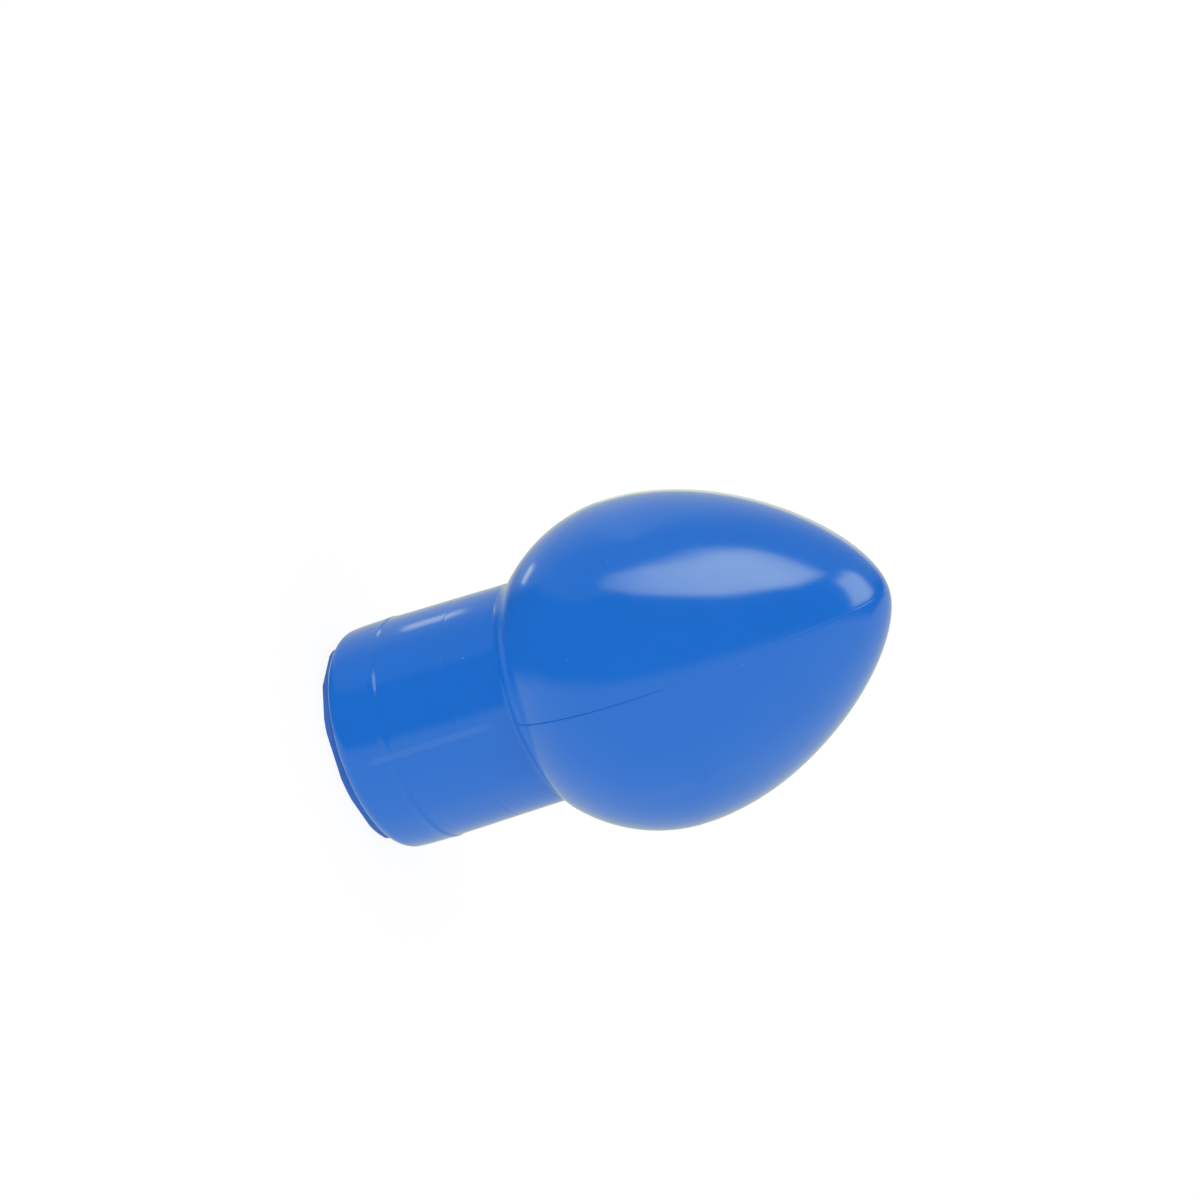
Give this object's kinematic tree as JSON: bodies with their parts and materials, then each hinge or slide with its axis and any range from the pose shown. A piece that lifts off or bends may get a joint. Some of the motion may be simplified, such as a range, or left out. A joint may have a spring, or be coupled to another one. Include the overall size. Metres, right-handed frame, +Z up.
{
  "type": "egg-headed playing piece",
  "caption": "Upright playing piece: an egg-shaped head with a rounded tip on a thick round stem, a hollow moulding with a lengthwise seam and a thin pad under its foot.",
  "frame": {"origin": "centre of the foot pad's underside, where the piece stands", "axes": "+Z up along the piece's axis, from the foot to the tip; the seam between the half shells lies in the YZ plane"},
  "size_m": [0.06, 0.06, 0.1007],
  "materials": {
    "shell": "glossy moulded soft plastic, blue throughout",
    "pad": "satin, slightly darker blue, unevenly trimmed edge"
  },
  "bodies": {
    "root": {"left_shell": "shell", "right_shell": "shell", "foot_pad": "pad"}
  },
  "joints": []
}
